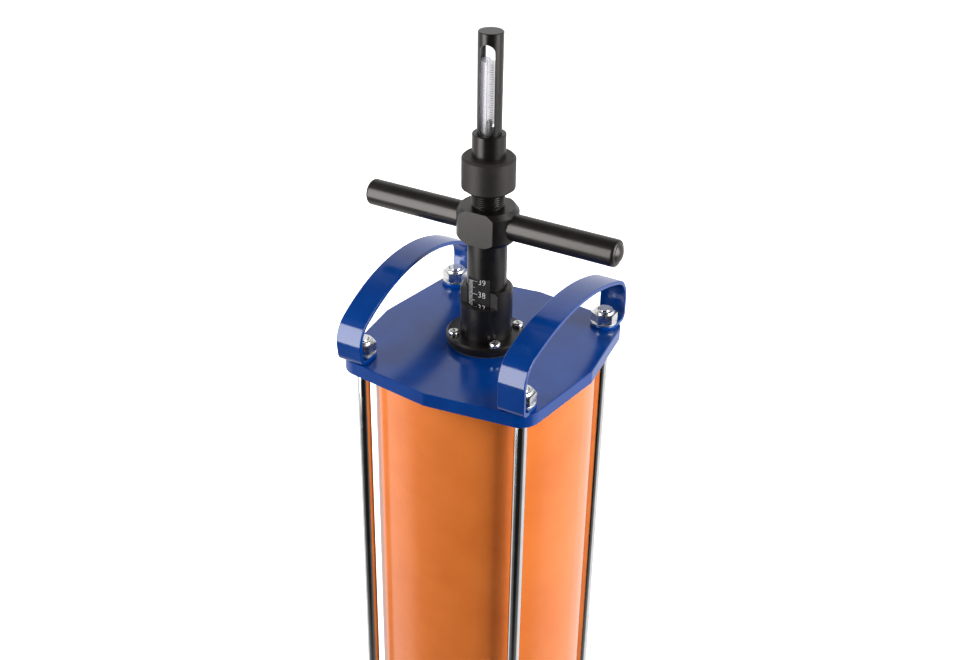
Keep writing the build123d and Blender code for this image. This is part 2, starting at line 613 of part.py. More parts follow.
def make_piston():
    body = rod(PISTON_RADIUS, PISTON_BOTTOM, PISTON_TOP)
    rims = edges_at(body, PISTON_BOTTOM) + edges_at(body, PISTON_TOP)
    body = chamfer(rims, PISTON_CHAMFER)
    outside = PISTON_RADIUS + PAST
    for low in SEAL_BOTTOMS:
        body -= ring(outside, PISTON_GROOVE_RADIUS, low, low + SEAL_HEIGHT)
    low = WEAR_BAND_BOTTOM
    body -= ring(outside, WEAR_BAND_GROOVE_RADIUS, low, low + WEAR_BAND_HEIGHT)
    body -= rod(NUT_POCKET_RADIUS, PISTON_BOTTOM - PAST, NUT_POCKET_TOP)
    return body - rod(SPIGOT_RADIUS, PISTON_BOTTOM, PISTON_TOP + PAST)


def make_piston_seal(low):
    """A lip seal: full height at its root, with a groove behind the lip."""
    root, lip = PISTON_GROOVE_RADIUS, PISTON_SEAL_RADIUS
    middle = (root + lip) / 2
    high = low + SEAL_HEIGHT
    half = SEAL_GROOVE_HALF_WIDTH
    return turned([(root, low), (lip - SEAL_LIP_TAPER, low), (lip, low + SEAL_LIP_HEIGHT),
                   (lip, high), (middle + half, high), (middle, high - SEAL_GROOVE_DEPTH),
                   (middle - half, high), (root, high)])


def make_wear_band():
    low = WEAR_BAND_BOTTOM
    return ring(WEAR_BAND_RADIUS, WEAR_BAND_GROOVE_RADIUS, low, low + WEAR_BAND_HEIGHT)


def make_backing_washer():
    low = NUT_POCKET_TOP - BACKING_WASHER_THICKNESS
    return ring(BACKING_WASHER_RADIUS, BACKING_WASHER_BORE_RADIUS, low, NUT_POCKET_TOP)


def make_rod_nut():
    high = NUT_POCKET_TOP - BACKING_WASHER_THICKNESS
    low = high - ROD_NUT_HEIGHT
    corner = ROD_NUT_ACROSS_FLATS / math.sqrt(3)
    nut = Pos(0, 0, low) * extrude(RegularPolygon(corner, 6), ROD_NUT_HEIGHT)
    return nut - rod(SPIGOT_RADIUS, low - PAST, high + PAST)


def make_o_ring():
    """The ring in the lower spigot's groove, pressed flat by the piston's bore."""
    seal = Pos(0, 0, O_RING_Z) * Torus(SPIGOT_RADIUS, O_RING_RADIUS)
    return seal & rod(SPIGOT_RADIUS, O_RING_Z - WIDE / 2, O_RING_Z + WIDE / 2)


# --- T-handle -----------------------------------------------------------------------------
def make_hub():
    """A round hub with two flats, a seat for each bar and a socket at each end."""
    top_in, top_down = HUB_TOP_CHAMFER
    low_in, low_up = HUB_BOTTOM_CHAMFER
    body = turned([(0, HUB_BOTTOM), (HUB_RADIUS - low_in, HUB_BOTTOM),
                   (HUB_RADIUS, HUB_BOTTOM + low_up), (HUB_RADIUS, HUB_TOP - top_down),
                   (HUB_RADIUS - top_in, HUB_TOP), (0, HUB_TOP)])
    body &= Pos(0, 0, (HUB_BOTTOM + HUB_TOP) / 2) * Box(WIDE, 2 * HUB_HALF_FLATS, WIDE)
    for sign in (-1, 1):
        seat, tip, outside = sign * BAR_START_X, sign * BAR_SPIGOT_TIP_X, sign * WIDE / 2
        body -= rod_x(BAR_RADIUS, seat, outside, BAR_Z)
        body -= rod_x(BAR_SPIGOT_RADIUS, tip, outside, BAR_Z)
    body -= rod(SPIGOT_RADIUS, HUB_BOTTOM - PAST, HUB_BOTTOM + SPIGOT_LENGTH)
    body -= rod(SPIGOT_RADIUS, HUB_TOP - SPIGOT_LENGTH, HUB_TOP + PAST)
    return body - rod(ROD_PASSAGE_RADIUS, HUB_BOTTOM, HUB_TOP)


def make_bar(end, turn):
    """One handle bar with a rounded, slightly domed end and a spigot, turned about Z."""
    start, radius = BAR_START_X, BAR_RADIUS
    face_radius = radius - BAR_END_ROUND
    face_x = end - BAR_END_DOME
    round_x = face_x - BAR_END_ROUND
    half_round = BAR_END_ROUND * math.sqrt(0.5)
    dome_x = end - dome_sag(face_radius, BAR_END_DOME, face_radius / 2)
    half_round_point = (round_x + half_round, face_radius + half_round)
    outline = [Polyline((end, 0), (start, 0), (start, radius), (round_x, radius)),
               ThreePointArc((round_x, radius), half_round_point, (face_x, face_radius)),
               ThreePointArc((face_x, face_radius), (dome_x, face_radius / 2), (end, 0))]
    bar = revolve(make_face(outline), Axis.X)
    bar += rod_x(BAR_SPIGOT_RADIUS, BAR_SPIGOT_TIP_X, start, 0)
    return Pos(0, 0, BAR_Z) * Rot(0, 0, turn) * bar


# --- pressure gauge -----------------------------------------------------------------------
def make_stub():
    """The threaded stub on the hub, whose bore takes the gauge liner."""
    body = chamfer(edges_at(rod(STUB_RADIUS, HUB_TOP, STUB_TOP), STUB_TOP), STUB_CHAMFER)
    body += rod(SPIGOT_RADIUS, HUB_TOP - SPIGOT_LENGTH, HUB_TOP)
    body -= rod(LINER_OUTER_RADIUS, STUB_FLOOR, STUB_TOP + PAST)
    return body - rod(STUB_PASSAGE_RADIUS, HUB_TOP - SPIGOT_LENGTH - PAST, STUB_FLOOR)


def make_coupling_ring():
    """The plain threaded ring that joins stub and sleeve."""
    low_in, low_up = RING_BOTTOM_CHAMFER
    cut = RING_TOP_CHAMFER
    return turned([(STUB_RADIUS, RING_BOTTOM), (RING_RADIUS - low_in, RING_BOTTOM),
                   (RING_RADIUS, RING_BOTTOM + low_up), (RING_RADIUS, RING_TOP - cut),
                   (RING_RADIUS - cut, RING_TOP), (STUB_RADIUS, RING_TOP)])


def make_sleeve():
    """The upper half of the gauge body, which holds the guard."""
    body = rod(SLEEVE_RADIUS, SLEEVE_BOTTOM, SLEEVE_TOP)
    body = chamfer(edges_at(body, SLEEVE_TOP), SLEEVE_CHAMFER)
    body -= rod(LINER_OUTER_RADIUS, SLEEVE_BOTTOM - PAST, LINER_TOP)
    body -= rod(GUARD_RADIUS, GUARD_BOTTOM, SLEEVE_TOP + PAST)
    return body - rod(PLUNGER_STEM_RADIUS + SLEEVE_STEM_CLEARANCE, SLEEVE_BOTTOM, SLEEVE_TOP)


def make_joint_seal():
    """The flat seal between the ends of stub and sleeve."""
    return ring(JOINT_SEAL_RADIUS, LINER_OUTER_RADIUS, STUB_TOP, SLEEVE_BOTTOM)


def make_guard():
    """The slotted tube that protects the sight tube."""
    body = rod(GUARD_RADIUS, GUARD_BOTTOM, GUARD_TOP)
    body = chamfer(edges_at(body, GUARD_TOP), GUARD_CHAMFER)
    body -= rod(GUARD_BORE_RADIUS, GUARD_BOTTOM - PAST, GUARD_BORE_TOP)
    low, high = GUARD_SLOT_BOTTOM, GUARD_SLOT_TOP
    slot = SlotOverall(high - low, 2 * GUARD_SLOT_HALF_WIDTH, rotation=90)
    cutter = extrude(Plane.XZ * slot, GUARD_RADIUS + PAST, both=True)
    return body - Rot(0, 0, GUARD_TURN) * Pos(0, 0, (low + high) / 2) * cutter


def make_sight_tube():
    """The clear tube, with an open pocket behind the bore for the scale."""
    body = ring(SIGHT_RADIUS, SIGHT_BORE_RADIUS, SIGHT_BOTTOM, SIGHT_TOP)
    middle = (SIGHT_BOTTOM + SIGHT_TOP) / 2
    pocket = Box(SCALE_WIDTH + 2 * SCALE_GAP, SIGHT_RADIUS, SIGHT_TOP - SIGHT_BOTTOM + 2 * PAST)
    return body - Rot(0, 0, GUARD_TURN) * Pos(0, SCALE_BACK + SIGHT_RADIUS / 2, middle) * pocket


def make_gauge_scale():
    """The white strip with the gauge's marks, behind the plunger."""
    bottom, top = PLUNGER_TOP - SCALE_BELOW_TIP, SIGHT_TOP - SCALE_END_GAP
    strip = Box(SCALE_WIDTH, SCALE_THICKNESS, top - bottom)
    y = SCALE_BACK + SCALE_THICKNESS / 2
    return Rot(0, 0, GUARD_TURN) * Pos(0, y, (bottom + top) / 2) * strip


def make_liner():
    """The smooth tube in which the plunger's head slides."""
    return ring(LINER_OUTER_RADIUS, LINER_INNER_RADIUS, STUB_FLOOR, LINER_TOP)


def make_plunger():
    """Head, stem and domed tip in one piece, with a seal groove and a marking groove."""
    low, high = PLUNGER_BOTTOM, PLUNGER_BOTTOM + PLUNGER_HEAD_HEIGHT
    head, stem = PLUNGER_RADIUS, PLUNGER_STEM_RADIUS
    groove_root = head - PLUNGER_GROOVE_DEPTH
    groove_low = (low + high) / 2 - PLUNGER_GROOVE_HALF_HEIGHT
    groove_high = (low + high) / 2 + PLUNGER_GROOVE_HALF_HEIGHT
    neck, neck_radius = PLUNGER_NECK, stem - PLUNGER_NECK_DEPTH
    neck_low = neck - PLUNGER_NECK_HEIGHT
    dome_z = PLUNGER_TOP - stem
    body = turned([(0, low), (head, low), (head, groove_low), (groove_root, groove_low),
                   (groove_root, groove_high), (head, groove_high), (head, high), (stem, high),
                   (stem, neck_low - PLUNGER_NECK_TAPER), (neck_radius, neck_low),
                   (neck_radius, neck), (stem, neck + PLUNGER_NECK_TAPER), (stem, dome_z),
                   (0, dome_z)])
    return body + Pos(0, 0, dome_z) * Sphere(stem)


def make_plunger_seal():
    middle = PLUNGER_BOTTOM + PLUNGER_HEAD_HEIGHT / 2
    return Pos(0, 0, middle) * Torus(PLUNGER_SEAL_MEAN_RADIUS, PLUNGER_SEAL_WIRE_RADIUS)


def make_gauge_spring():
    """The spring between the plunger's head and the top of the liner."""
    low = PLUNGER_BOTTOM + PLUNGER_HEAD_HEIGHT + SPRING_WIRE_RADIUS + SPRING_END_GAP
    high = LINER_TOP - SPRING_WIRE_RADIUS - SPRING_END_GAP
    path = Helix((high - low) / SPRING_TURNS, high - low, SPRING_MEAN_RADIUS)
    section = Plane(path @ 0, z_dir=path % 0) * Circle(SPRING_WIRE_RADIUS)
    return Pos(0, 0, low) * sweep(section, path=path, is_frenet=True)


# --- every node ---------------------------------------------------------------------------
def build():
    lower_nut_z = LOWER_WASHER_Z - NUT_HEX_HEIGHT
    return {
        "top_plate": make_top_plate(),
        "bottom_plate": make_bottom_plate(),
        "cylinder_tube": ring(CYLINDER_OUTER_RADIUS, CYLINDER_INNER_RADIUS, CYLINDER_Z, CYLINDER_TOP),
        "upper_cylinder_gasket": make_cylinder_gasket(CYLINDER_TOP),
        "lower_cylinder_gasket": make_cylinder_gasket(BOTTOM_PLATE_TOP),
        "tie_rods": at_corners(make_tie_rod()),
        "upper_washers": at_corners(make_washer(), UPPER_WASHER_Z),
        "lock_nuts": at_corners(make_lock_nut(), LOCK_NUT_Z),
        "lock_nut_inserts": at_corners(make_insert(), LOCK_NUT_Z),
        "lower_washers": at_corners(make_washer(), LOWER_WASHER_Z),
        "lower_nuts": at_corners(make_plain_nut(), lower_nut_z),
        "left_handle": make_handle(-TIE_ROD_OFFSET, LEFT_STRAP),
        "right_handle": make_handle(TIE_ROD_OFFSET, RIGHT_STRAP),
        "membrane": make_membrane(),
        "membrane_clamp_ring": make_clamp_ring(),
        "clamp_ring_screws": on_clamp_circle(make_clamp_screw()),
        "guide_collar": make_collar(),
        "collar_gasket": make_flange_gasket(),
        "collar_screws": on_flange_circle(make_flange_screw()),
        "rod_bush": make_bush(),
        "rod_wiper": make_wiper(),
        "piston_rod": make_rod(),
        "rod_scale_strip": make_rod_strip(),
        "piston": make_piston(),
        "piston_seals": [make_piston_seal(low) for low in SEAL_BOTTOMS],
        "piston_wear_band": make_wear_band(),
        "backing_washer": make_backing_washer(),
        "rod_nut": make_rod_nut(),
        "piston_o_ring": make_o_ring(),
        "handle_hub": make_hub(),
        "left_handle_bar": make_bar(LEFT_BAR_END_X, 180),
        "right_handle_bar": make_bar(RIGHT_BAR_END_X, 0),
        "gauge_stub": make_stub(),
        "coupling_ring": make_coupling_ring(),
        "gauge_sleeve": make_sleeve(),
        "gauge_joint_seal": make_joint_seal(),
        "gauge_guard": make_guard(),
        "sight_tube": make_sight_tube(),
        "gauge_scale": make_gauge_scale(),
        "gauge_liner": make_liner(),
        "gauge_plunger": make_plunger(),
        "plunger_seal": make_plunger_seal(),
        "gauge_spring": make_gauge_spring(),
    }


def main():
    os.makedirs("parts", exist_ok=True)
    for name, shape in build().items():
        solid = Compound(children=list(shape)) if isinstance(shape, list) else shape
        export_step(solid, f"parts/{name}.step")
        print(name, "ok")


main()
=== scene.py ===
"""Looks of the hand-driven piston pump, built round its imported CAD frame.

Lengths are metres. +Z is up and the pump stands on the floor at Z = 0.
"""
import math
import bmesh
import bpy
from mathutils import Matrix, Vector


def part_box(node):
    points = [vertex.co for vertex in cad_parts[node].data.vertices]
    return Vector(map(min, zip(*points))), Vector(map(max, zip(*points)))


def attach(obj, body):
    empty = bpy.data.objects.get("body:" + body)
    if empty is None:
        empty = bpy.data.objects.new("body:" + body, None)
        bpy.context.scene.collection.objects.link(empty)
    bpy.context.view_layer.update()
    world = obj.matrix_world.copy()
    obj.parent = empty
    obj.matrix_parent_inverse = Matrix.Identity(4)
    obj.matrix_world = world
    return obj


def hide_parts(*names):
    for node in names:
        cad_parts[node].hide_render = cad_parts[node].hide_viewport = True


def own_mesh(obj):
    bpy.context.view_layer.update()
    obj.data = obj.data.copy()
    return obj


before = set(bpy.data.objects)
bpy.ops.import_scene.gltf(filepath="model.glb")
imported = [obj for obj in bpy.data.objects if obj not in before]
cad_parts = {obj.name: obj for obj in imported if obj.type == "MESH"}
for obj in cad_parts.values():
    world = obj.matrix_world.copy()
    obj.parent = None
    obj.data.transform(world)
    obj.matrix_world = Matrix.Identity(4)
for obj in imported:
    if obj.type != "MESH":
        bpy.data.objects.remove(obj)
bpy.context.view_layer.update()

MM = 0.001
FRAME_BODY = "pump_frame"
ROD_BODY = "piston_and_handle"
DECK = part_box("top_plate")[1].z

# --- camera -------------------------------------------------------------------------------
CAMERA_AZIMUTH = math.radians(29.486)
CAMERA_ELEVATION = math.radians(29.873)
CAMERA_ROLL = math.radians(0.832)
CAMERA_DISTANCE = 0.94916
CAMERA_RIGHT = -0.00427
CAMERA_UP = 0.00654
LENS_MM = 49.46
SENSOR_MM = 36.0
CAMERA_NEAR, CAMERA_FAR = 0.05, 60.0

# --- printed marks on the rod's strip -----------------------------------------------------
ROD_MARK_TOP = DECK + 51.5 * MM     # the mark numbered 39
ROD_MARK_HIGHEST = 39               # centimetres
MARKS_PER_NUMBER = 10
MARKS_PER_HALF = 5
ROD_MARK_PITCH = 1.0 * MM
ROD_MARK_WIDTH = 0.22 * MM
ROD_MARK_LEFT = -7.7 * MM
ROD_MARK_LENGTHS = {"minor": 3.0 * MM, "half": 4.8 * MM, "major": 6.8 * MM}
ROD_DIGIT_SIZE = 6.4 * MM
ROD_DIGIT_LEFT = -0.7 * MM
DIGIT_THINNING = 0.13 * MM          # off each side of a stroke

# --- printed marks on the gauge's scale ---------------------------------------------------
GAUGE_MARK_PITCH = 1.6 * MM
GAUGE_MARK_WIDTH = 0.45 * MM
GAUGE_MARK_RIGHT = 1.2 * MM
GAUGE_MARK_LENGTHS = {"minor": 2.0 * MM, "major": 2.9 * MM}
GAUGE_MARKS_PER_MAJOR = 5
GAUGE_MARKS_START = 3.2 * MM        # first mark above the scale's lower end
GAUGE_MARKS_MARGIN = 4.0 * MM       # length of the scale that is left without marks
GAUGE_SCALE_FRONT = 2.9 * MM        # front face of the scale behind the axis
GAUGE_TURN = math.radians(11.0)     # the slot's turn from -Y towards +X

# --- sight tube ---------------------------------------------------------------------------
SIGHT_SKIN = 6.0 * MM               # radius beyond which the tube's rear half carries the painted milky layer, painted light of the background seen through it
SIGHT_TRANSMISSION = 0.93
SIGHT_IOR = 1.03                    # low, so that the thick wall hardly bends the view of the scale
SIGHT_GLOSS_IOR = 1.6               # of the outer gloss
SIGHT_GLOSS_ROUGHNESS = 0.32
SIGHT_FRONT_SHARE = 0.5             # of the painted milky rear layer's light that comes from the front
SCALE_FRONT_SHARE = 0.4

INK = 0.03 * MM                     # thickness of printed ink

# --- screw threads ------------------------------------------------------------------------
THREAD_SEGMENTS = 40                # round the screw
THREAD_ROWS = 8                     # per turn, along the screw
WELD = 0.0001 * MM
SMOOTHING_ANGLE = 50.0              # degrees; sharper corners stay sharp
TIE_ROD_RADIUS = 5.0 * MM
TIE_ROD_SHANK = 4.65 * MM
TIE_ROD_TIP = 4.2 * MM
TIE_ROD_PITCH = 1.5 * MM
TIE_ROD_THREAD_DEPTH = 0.85 * MM
TIE_ROD_THREAD_PAST_PLATE = 4.0 * MM
STUB_SPIGOT_RADIUS = 9.0 * MM
STUB_PASSAGE_RADIUS = 2.0 * MM
STUB_PITCH = 1.5 * MM
STUB_THREAD_DEPTH = 0.9 * MM
STUB_TIP_CHAMFER = 0.8 * MM

# --- gauge spring -------------------------------------------------------------------------
SPRING_WIRE_RADIUS = 0.35 * MM
SPRING_TURNS = 9
SPRING_STEPS = 32                   # per turn, along the wire
SPRING_SIDES = 10                   # round the wire

# --- studio -------------------------------------------------------------------------------
FLOOR_HALF = 12.0
FLOOR_LIGHT = 4.0
FLOOR_LIGHT_SPREAD = 50.0           # degrees
WORLD_FRONT = 21.0                  # degrees from -Y towards +X: the middle of the dark side
WORLD_REFLECTED = 1.0
WORLD_FILL = 0.30


def grey(value):
    return (value, value, value)


# (half of 1 + the sine of the elevation, brightness)
WORLD_BY_HEIGHT = [(0.0, grey(1.0)), (0.80, grey(1.0)), (0.87, grey(0.45)), (0.92, grey(0.08)),
                   (1.0, grey(0.05))]
# (half of 1 + the cosine of the angle from the dark side's middle, brightness)
WORLD_BY_SIDE = [(0.0, grey(1.0)), (0.56, grey(1.0)), (0.66, grey(0.22)), (0.82, grey(0.12)),
                 (0.88, grey(0.01)), (1.0, grey(0.01))]


# --- mesh helpers -------------------------------------------------------------------------
def new_object(name, mesh):
    thing = bpy.data.objects.new(name, mesh)
    bpy.context.scene.collection.objects.link(thing)
    return thing


def mesh_from(name, points, faces):
    mesh = bpy.data.meshes.new(name)
    mesh.from_pydata(points, [], faces)
    mesh.update()
    return mesh


def joined(name, meshes):
    """One mesh made of several."""
    bm = bmesh.new()
    for mesh in meshes:
        bm.from_mesh(mesh)
        bpy.data.meshes.remove(mesh)
    whole = bpy.data.meshes.new(name)
    bm.to_mesh(whole)
    bm.free()
    return whole


def box_mesh(low, high):
    x0, y0, z0 = low
    x1, y1, z1 = high
    points = [(x, y, z) for z in (z0, z1) for y in (y0, y1) for x in (x0, x1)]
    faces = [(0, 2, 3, 1), (4, 5, 7, 6), (0, 1, 5, 4), (2, 6, 7, 3), (0, 4, 6, 2), (1, 3, 7, 5)]
    return mesh_from("box", points, faces)


def thread_side(crest, depth, pitch, low, high, low_radius, high_radius, turn):
    """(r, z) points up the side of a screw thread, which runs out to a plain radius at each end."""
    rows = round((high - low) / pitch * THREAD_ROWS)
    side = []
    for row in range(rows + 1):
        z = low + (high - low) * row / rows
        wave = 0.5 - 0.5 * math.cos(2 * math.pi * (z / pitch - turn))
        from_low = min(1.0, (z - low) / pitch)
        from_high = min(1.0, (high - z) / pitch)
        r = low_radius + (crest - depth * wave - low_radius) * from_low
        side.append((high_radius + (r - high_radius) * from_high, z))
    return side


def turned_mesh(outline, centre=(0.0, 0.0), bored=False):
    """A closed solid round a vertical axis.

    outline(turn) gives its (r, z) points, upwards on the outside, at a fraction of a turn. A bored
    one comes back down inside; any other starts and ends on the axis.
    """
    bm = bmesh.new()
    columns = []
    for i in range(THREAD_SEGMENTS):
        turn = i / THREAD_SEGMENTS
        x, y = math.cos(2 * math.pi * turn), math.sin(2 * math.pi * turn)
        columns.append([bm.verts.new((centre[0] + r * x, centre[1] + r * y, z)) for r, z in outline(turn)])
    for here, there in zip(columns, columns[1:] + columns[:1]):
        for j in range(len(here) if bored else len(here) - 1):
            k = (j + 1) % len(here)
            bm.faces.new((here[j], there[j], there[k], here[k]))
    bmesh.ops.remove_doubles(bm, verts=bm.verts, dist=WELD)
    mesh = bpy.data.meshes.new("turned")
    bm.to_mesh(mesh)
    bm.free()
    return mesh


# --- materials ----------------------------------------------------------------------------
def start_material(name):
    material = bpy.data.materials.new(name)
    material.use_nodes = True
    nodes, links = material.node_tree.nodes, material.node_tree.links
    return material, nodes, links, nodes["Principled BSDF"]


def object_coordinates(nodes, links, scale=(1.0, 1.0, 1.0)):
    """Object coordinates, stretched; the result is a mapping node's output socket."""
    where = nodes.new("ShaderNodeTexCoord")
    mapping = nodes.new("ShaderNodeMapping")
    mapping.inputs["Scale"].default_value = scale
    links.new(where.outputs["Object"], mapping.inputs["Vector"])
    return mapping.outputs["Vector"]


def noise(nodes, links, vector, scale, detail=3.0, rough=0.5):
    node = nodes.new("ShaderNodeTexNoise")
    node.inputs["Scale"].default_value = scale
    node.inputs["Detail"].default_value = detail
    node.inputs["Roughness"].default_value = rough
    links.new(vector, node.inputs["Vector"])
    return node.outputs["Fac"]


def ramp(nodes, links, factor, stops):
    """A colour ramp; stops are (position, colour)."""
    node = nodes.new("ShaderNodeValToRGB")
    while len(node.color_ramp.elements) < len(stops):
        node.color_ramp.elements.new(0.5)
    for element, (position, colour) in zip(node.color_ramp.elements, stops):
        element.position = position
        element.color = (*colour, 1.0)
    links.new(factor, node.inputs["Fac"])
    return node.outputs["Color"]


def spread(nodes, links, factor, low, high, source=(0.3, 0.7)):
    """Maps a noise value onto a range of numbers."""
    node = nodes.new("ShaderNodeMapRange")
    node.inputs["From Min"].default_value, node.inputs["From Max"].default_value = source
    node.inputs["To Min"].default_value, node.inputs["To Max"].default_value = low, high
    links.new(factor, node.inputs["Value"])
    return node.outputs["Result"]


def mixed(nodes, links, a, b, share):
    """Adds two values, the second at a share."""
    node = nodes.new("ShaderNodeMath")
    node.operation = "MULTIPLY_ADD"
    node.inputs[1].default_value = share
    links.new(b, node.inputs[0])
    links.new(a, node.inputs[2])
    return node.outputs["Value"]


def choice(nodes, links, factor, otherwise, chosen):
    """One shader where the factor is 0 and the other where it is 1."""
    node = nodes.new("ShaderNodeMixShader")
    links.new(factor, node.inputs["Fac"])
    links.new(otherwise, node.inputs[1])
    links.new(chosen, node.inputs[2])
    return node.outputs["Shader"]


def bump(nodes, links, shader, height, distance):
    """Gives a shader fine relief, distance metres deep."""
    node = nodes.new("ShaderNodeBump")
    node.inputs["Strength"].default_value = 1.0
    node.inputs["Distance"].default_value = distance
    links.new(height, node.inputs["Height"])
    links.new(node.outputs["Normal"], shader.inputs["Normal"])


def surface(name, dark, light, roughness, metallic=0.0, patch=60.0, stretch=(1.0, 1.0, 1.0), grain=900.0,
            grain_height=0.004 * MM, scratches=0.0, specular=0.5, tint=(1.0, 1.0, 1.0)):
    """A finish with mottled colour, uneven gloss and a fine grain.

    stretch runs the grain along one direction, as turning, drawing or extrusion leaves it.
    """
    material, nodes, links, shader = start_material(name)
    even = object_coordinates(nodes, links)
    grained = object_coordinates(nodes, links, stretch)
    patches = noise(nodes, links, even, patch, 4.0, 0.6)
    fine = noise(nodes, links, grained, grain, 3.0, 0.6)
    colour = ramp(nodes, links, patches, [(0.32, dark), (0.68, light)])
    links.new(colour, shader.inputs["Base Color"])
    low, high = roughness
    shine = spread(nodes, links, mixed(nodes, links, patches, fine, 0.5), low, high, (0.45, 1.05))
    links.new(shine, shader.inputs["Roughness"])
    shader.inputs["Metallic"].default_value = metallic
    shader.inputs["Specular IOR Level"].default_value = specular
    shader.inputs["Specular Tint"].default_value = (*tint, 1.0)
    height = fine
    if scratches:
        larger = object_coordinates(nodes, links, tuple(part * WORN_SCALE for part in stretch))
        worn = noise(nodes, links, larger, grain * 2.0, 1.0, 0.4)
        height = mixed(nodes, links, fine, worn, scratches)
    bump(nodes, links, shader, height, grain_height)
    return material


def compared(nodes, links, value, limit):
    """1 where a value is above a limit, else 0."""
    node = nodes.new("ShaderNodeMath")
    node.operation = "GREATER_THAN"
    node.inputs[1].default_value = limit
    links.new(value, node.inputs[0])
    return node.outputs["Value"]


def opal(nodes, links, colour, front_share):
    """A milky layer that is lit from the front and glows with the light from behind."""
    front = nodes.new("ShaderNodeBsdfDiffuse")
    back = nodes.new("ShaderNodeBsdfTranslucent")
    links.new(colour, front.inputs["Color"])
    links.new(colour, back.inputs["Color"])
    blend = nodes.new("ShaderNodeMixShader")
    blend.inputs["Fac"].default_value = front_share
    links.new(back.outputs["BSDF"], blend.inputs[1])
    links.new(front.outputs["BSDF"], blend.inputs[2])
    return blend.outputs["Shader"]


def clear_plastic(name):
    """Clear acrylic whose rear half carries a painted milky lilac-grey layer, standing in for the bright
    background seen through the tube; lamps shine through it onto what it holds.
    """
    material, nodes, links, shader = start_material(name)
    even = object_coordinates(nodes, links)
    marks = noise(nodes, links, object_coordinates(nodes, links, (1.0, 1.0, 0.08)), 2500.0, 2.0, 0.5)
    links.new(spread(nodes, links, marks, 0.02, 0.05), shader.inputs["Roughness"])
    tint = noise(nodes, links, even, 40.0, 2.0, 0.5)
    pale = ramp(nodes, links, tint, [(0.3, (0.97, 0.965, 0.98)), (0.7, (0.985, 0.98, 0.99))])
    links.new(pale, shader.inputs["Base Color"])
    shader.inputs["Transmission Weight"].default_value = SIGHT_TRANSMISSION
    shader.inputs["IOR"].default_value = SIGHT_IOR
    shader.inputs["Coat Weight"].default_value = 1.0
    shader.inputs["Coat Roughness"].default_value = SIGHT_GLOSS_ROUGHNESS
    shader.inputs["Coat IOR"].default_value = SIGHT_GLOSS_IOR

    flat = nodes.new("ShaderNodeVectorMath")
    flat.operation = "MULTIPLY"
    flat.inputs[1].default_value = (1.0, 1.0, 0.0)
    links.new(even, flat.inputs[0])
    radius = nodes.new("ShaderNodeVectorMath")
    radius.operation = "LENGTH"
    links.new(flat.outputs["Vector"], radius.inputs[0])
    split = nodes.new("ShaderNodeSeparateXYZ")
    links.new(even, split.inputs["Vector"])
    # painted light: beyond SIGHT_SKIN the rear half of the tube turns milky lilac-grey, standing in for the
    # background seen through the clear acrylic
    painted_rear_mask = nodes.new("ShaderNodeMath")
    painted_rear_mask.operation = "MULTIPLY"
    links.new(compared(nodes, links, radius.outputs["Value"], SIGHT_SKIN), painted_rear_mask.inputs[0])
    links.new(compared(nodes, links, split.outputs["Y"], 0.0), painted_rear_mask.inputs[1])
    painted_rear_colour = ramp(nodes, links, tint, [(0.3, (0.84, 0.82, 0.90)), (0.7, (0.90, 0.88, 0.95))])
    painted_rear_layer = opal(nodes, links, painted_rear_colour, SIGHT_FRONT_SHARE)
    body = choice(nodes, links, painted_rear_mask.outputs["Value"], shader.outputs["BSDF"], painted_rear_layer)

    through = nodes.new("ShaderNodeBsdfTransparent")
    path = nodes.new("ShaderNodeLightPath")
    seen = choice(nodes, links, path.outputs["Is Shadow Ray"], body, through.outputs["BSDF"])
    links.new(seen, nodes["Material Output"].inputs["Surface"])
    return material


def printed_scale(name):
    """A white printed strip, thin enough for light from behind to glow through."""
    material, nodes, links, shader = start_material(name)
    nodes.remove(shader)
    paper = noise(nodes, links, object_coordinates(nodes, links), 900.0, 3.0, 0.6)
    white = ramp(nodes, links, paper, [(0.3, (0.90, 0.90, 0.89)), (0.7, (0.95, 0.95, 0.94))])
    paper_layer = opal(nodes, links, white, SCALE_FRONT_SHARE)
    links.new(paper_layer, nodes["Material Output"].inputs["Surface"])
    return material


WORN_SCALE = 0.3               # with the doubled noise scale, worn marks are 1.7 times the grain's size
TURNED = (1.0, 1.0, 14.0)      # fine rings round Z
DRAWN = (9.0, 9.0, 0.25)       # fine lines along Z
TURNED_X = (14.0, 1.0, 1.0)    # fine rings round X
WARM = (1.0, 0.95, 0.91)       # the brownish gloss of oiled black oxide

